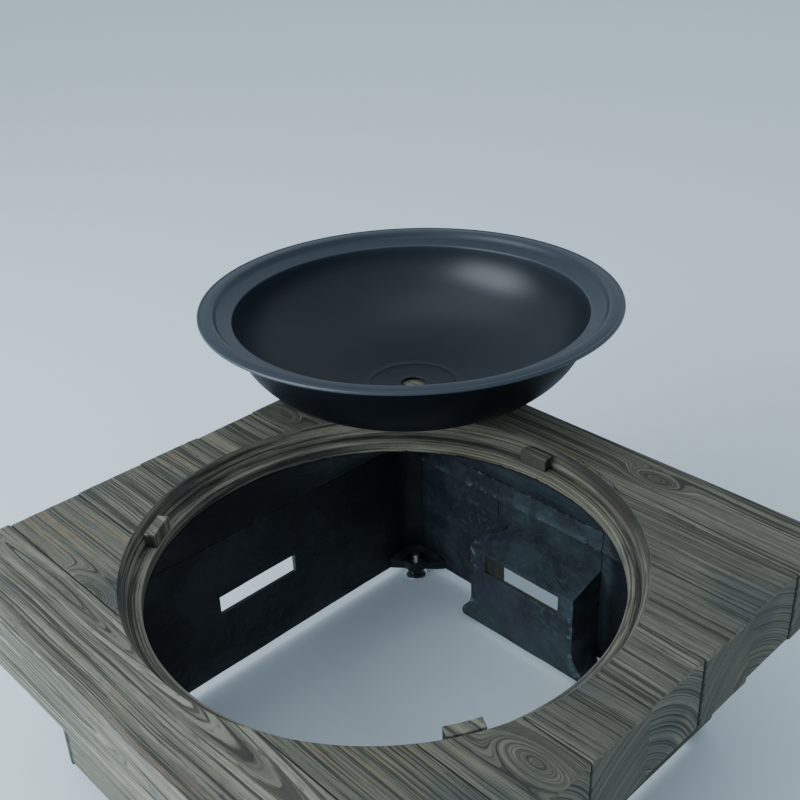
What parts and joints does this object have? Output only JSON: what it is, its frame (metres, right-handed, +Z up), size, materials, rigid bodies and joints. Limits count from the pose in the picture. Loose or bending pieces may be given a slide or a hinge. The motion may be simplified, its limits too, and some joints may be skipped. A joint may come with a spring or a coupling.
{
  "type": "fire pit",
  "caption": "Square board-look cast fire pit surround on levelling feet, with a round rebated opening, vent slots, hand recesses and a lift-out spun steel fire bowl standing on its corner.",
  "frame": {"origin": "on the floor, under the centre of the round opening", "axes": "+Z up; +Y along the boards of the top, to the panel at the back; +X across the boards, to the hand recess on the right"},
  "size_m": [0.9176, 0.8738, 0.4426],
  "materials": {
    "cast_wood": "weathered board-look casting, matt",
    "cast_inside": "rough hand-laid casting, dark",
    "satin_black_steel": "satin black heat-resistant paint",
    "zinc_steel": "bright zinc plate",
    "black_steel": "black oxide"
  },
  "bodies": {
    "surround": {"top_slab": "cast_wood", "collar": "cast_inside", "side_panel_back": "cast_wood", "side_panel_front": "cast_wood", "side_panel_right": "cast_wood", "side_panel_left": "cast_wood", "rest_pad_1": "cast_wood", "rest_pad_2": "cast_wood", "rest_pad_3": "cast_wood", "corner_boss_back_right": "cast_inside", "insert_back_right": "zinc_steel", "corner_boss_back_left": "cast_inside", "insert_back_left": "zinc_steel", "corner_boss_front_left": "cast_inside", "insert_front_left": "zinc_steel", "corner_boss_front_right": "cast_inside", "insert_front_right": "zinc_steel"},
    "bowl": {"bowl": "satin_black_steel"},
    "foot_back_right": {"foot_stud_back_right": "zinc_steel", "foot_nut_back_right": "black_steel", "foot_pad_back_right": "zinc_steel"},
    "foot_back_left": {"foot_stud_back_left": "zinc_steel", "foot_nut_back_left": "black_steel", "foot_pad_back_left": "zinc_steel"},
    "foot_front_left": {"foot_stud_front_left": "zinc_steel", "foot_nut_front_left": "black_steel", "foot_pad_front_left": "zinc_steel"},
    "foot_front_right": {"foot_stud_front_right": "zinc_steel", "foot_nut_front_right": "black_steel", "foot_pad_front_right": "zinc_steel"}
  },
  "joints": [
    {"name": "bowl_lift", "type": "slide", "parent": "surround", "child": "bowl", "axis": [0, 0, 1], "range_m": [0, 0.2]},
    {"name": "foot_back_right_screw", "type": "slide", "parent": "surround", "child": "foot_back_right", "axis": [0, 0, 1], "range_m": [-0.01, 0]},
    {"name": "foot_back_left_screw", "type": "slide", "parent": "surround", "child": "foot_back_left", "axis": [0, 0, 1], "range_m": [-0.01, 0]},
    {"name": "foot_front_left_screw", "type": "slide", "parent": "surround", "child": "foot_front_left", "axis": [0, 0, 1], "range_m": [-0.01, 0]},
    {"name": "foot_front_right_screw", "type": "slide", "parent": "surround", "child": "foot_front_right", "axis": [0, 0, 1], "range_m": [-0.01, 0]}
  ]
}
